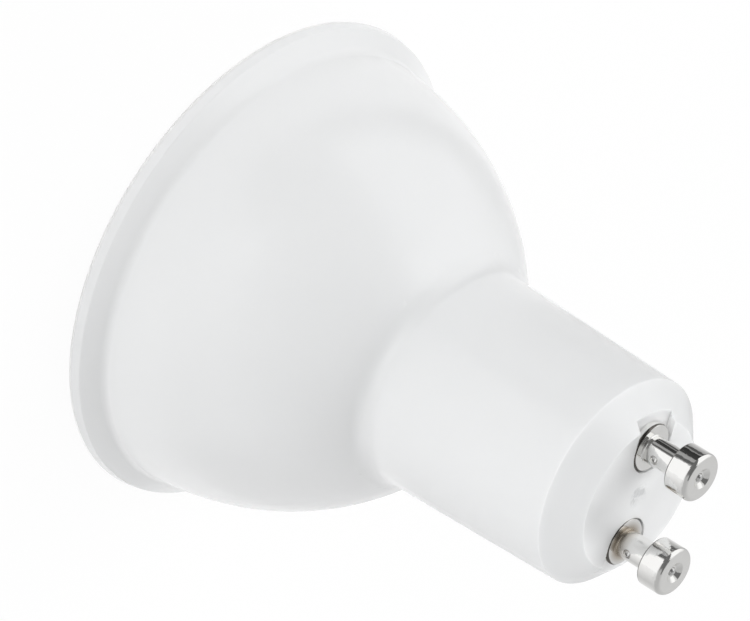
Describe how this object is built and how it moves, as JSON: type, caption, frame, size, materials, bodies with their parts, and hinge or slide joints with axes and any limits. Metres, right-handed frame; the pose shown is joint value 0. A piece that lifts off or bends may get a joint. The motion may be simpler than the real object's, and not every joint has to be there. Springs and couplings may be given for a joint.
{
  "type": "spotlight bulb",
  "caption": "Sealed reflector-shaped spotlight bulb with a white moulded body, a milky front cover and twist-lock contact pins on a narrow chamfered base.",
  "frame": {"origin": "centre of the front cover's flat face, on the lamp's axis", "axes": "+Z along the lamp's axis from the front cover to the contact pins; the pins stand beside each other on X, and -Y is the side with the crimp marks that the picture shows"},
  "size_m": [0.05, 0.05, 0.0555],
  "materials": {
    "white_plastic": "white semi-gloss moulded plastic",
    "milky_cover": "milky white moulded diffuser plastic, satin",
    "nickel_plate": "bright nickel plate on turned brass",
    "tinned_wire": "tinned copper wire, crimped"
  },
  "bodies": {
    "root": {"front_cover": "milky_cover", "housing": "white_plastic", "left_contact_pin": "nickel_plate", "left_lead_wire": "tinned_wire", "right_contact_pin": "nickel_plate", "right_lead_wire": "tinned_wire"}
  },
  "joints": []
}
